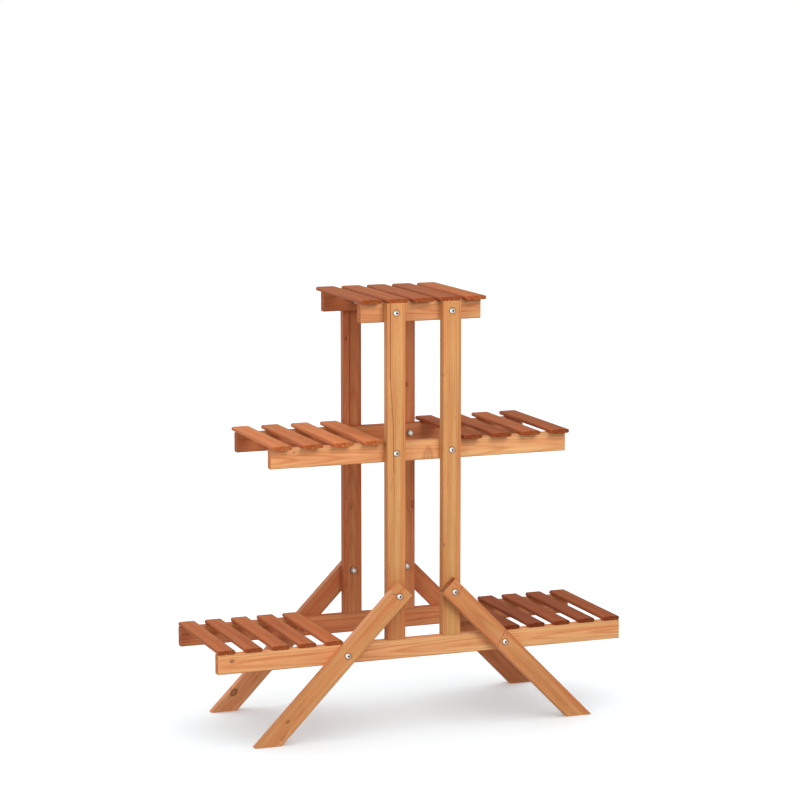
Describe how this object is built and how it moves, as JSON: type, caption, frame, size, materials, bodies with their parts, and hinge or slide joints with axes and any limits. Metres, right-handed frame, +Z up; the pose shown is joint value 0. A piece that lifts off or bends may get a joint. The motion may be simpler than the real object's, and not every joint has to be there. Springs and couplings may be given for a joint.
{
  "type": "tiered plant stand",
  "caption": "Three-tier slatted wooden stand on splayed legs that holds potted plants on a wide foot shelf, a shorter middle shelf and a small top shelf.",
  "frame": {"origin": "on the floor, under the middle of the stand", "axes": "+X to the right along the rails, +Y from front to back along the slats, +Z up"},
  "size_m": [0.83, 0.303, 0.839],
  "materials": {
    "post_pine": "planed softwood under a honey-coloured oil stain, satin",
    "leg_pine": "planed softwood under a warm oil stain, satin",
    "rail_pine": "planed softwood under a warm oil stain, satin",
    "slat_pine": "planed softwood under a red-brown oil stain, sawn ends, satin",
    "dowel_beech": "fluteless turned beech, raw",
    "bolt_zinc": "bright zinc plate",
    "washer_zinc": "bright zinc plate",
    "nut_zinc": "bright zinc plate",
    "brad_steel": "plain drawn steel wire"
  },
  "bodies": {
    "root": {"bottom_rail_back": "rail_pine", "bottom_rail_front": "rail_pine", "bottom_slat_brads": "brad_steel", "bottom_slat_left_1": "slat_pine", "bottom_slat_left_2": "slat_pine", "bottom_slat_left_3": "slat_pine", "bottom_slat_left_4": "slat_pine", "bottom_slat_left_5": "slat_pine", "bottom_slat_right_1": "slat_pine", "bottom_slat_right_2": "slat_pine", "bottom_slat_right_3": "slat_pine", "bottom_slat_right_4": "slat_pine", "bottom_slat_right_5": "slat_pine", "frame_bolts": "bolt_zinc", "frame_nuts": "nut_zinc", "frame_washers": "washer_zinc", "leg_back_left": "leg_pine", "leg_back_right": "leg_pine", "leg_front_left": "leg_pine", "leg_front_right": "leg_pine", "middle_rail_back": "rail_pine", "middle_rail_front": "rail_pine", "middle_slat_brads": "brad_steel", "middle_slat_left_1": "slat_pine", "middle_slat_left_2": "slat_pine", "middle_slat_left_3": "slat_pine", "middle_slat_left_4": "slat_pine", "middle_slat_right_1": "slat_pine", "middle_slat_right_2": "slat_pine", "middle_slat_right_3": "slat_pine", "middle_slat_right_4": "slat_pine", "post_back_left": "post_pine", "post_back_right": "post_pine", "post_dowels": "dowel_beech", "post_front_left": "post_pine", "post_front_right": "post_pine", "top_rail_back": "rail_pine", "top_rail_front": "rail_pine", "top_slat_1": "slat_pine", "top_slat_2": "slat_pine", "top_slat_3": "slat_pine", "top_slat_4": "slat_pine", "top_slat_5": "slat_pine", "top_slat_brads": "brad_steel"}
  },
  "joints": []
}
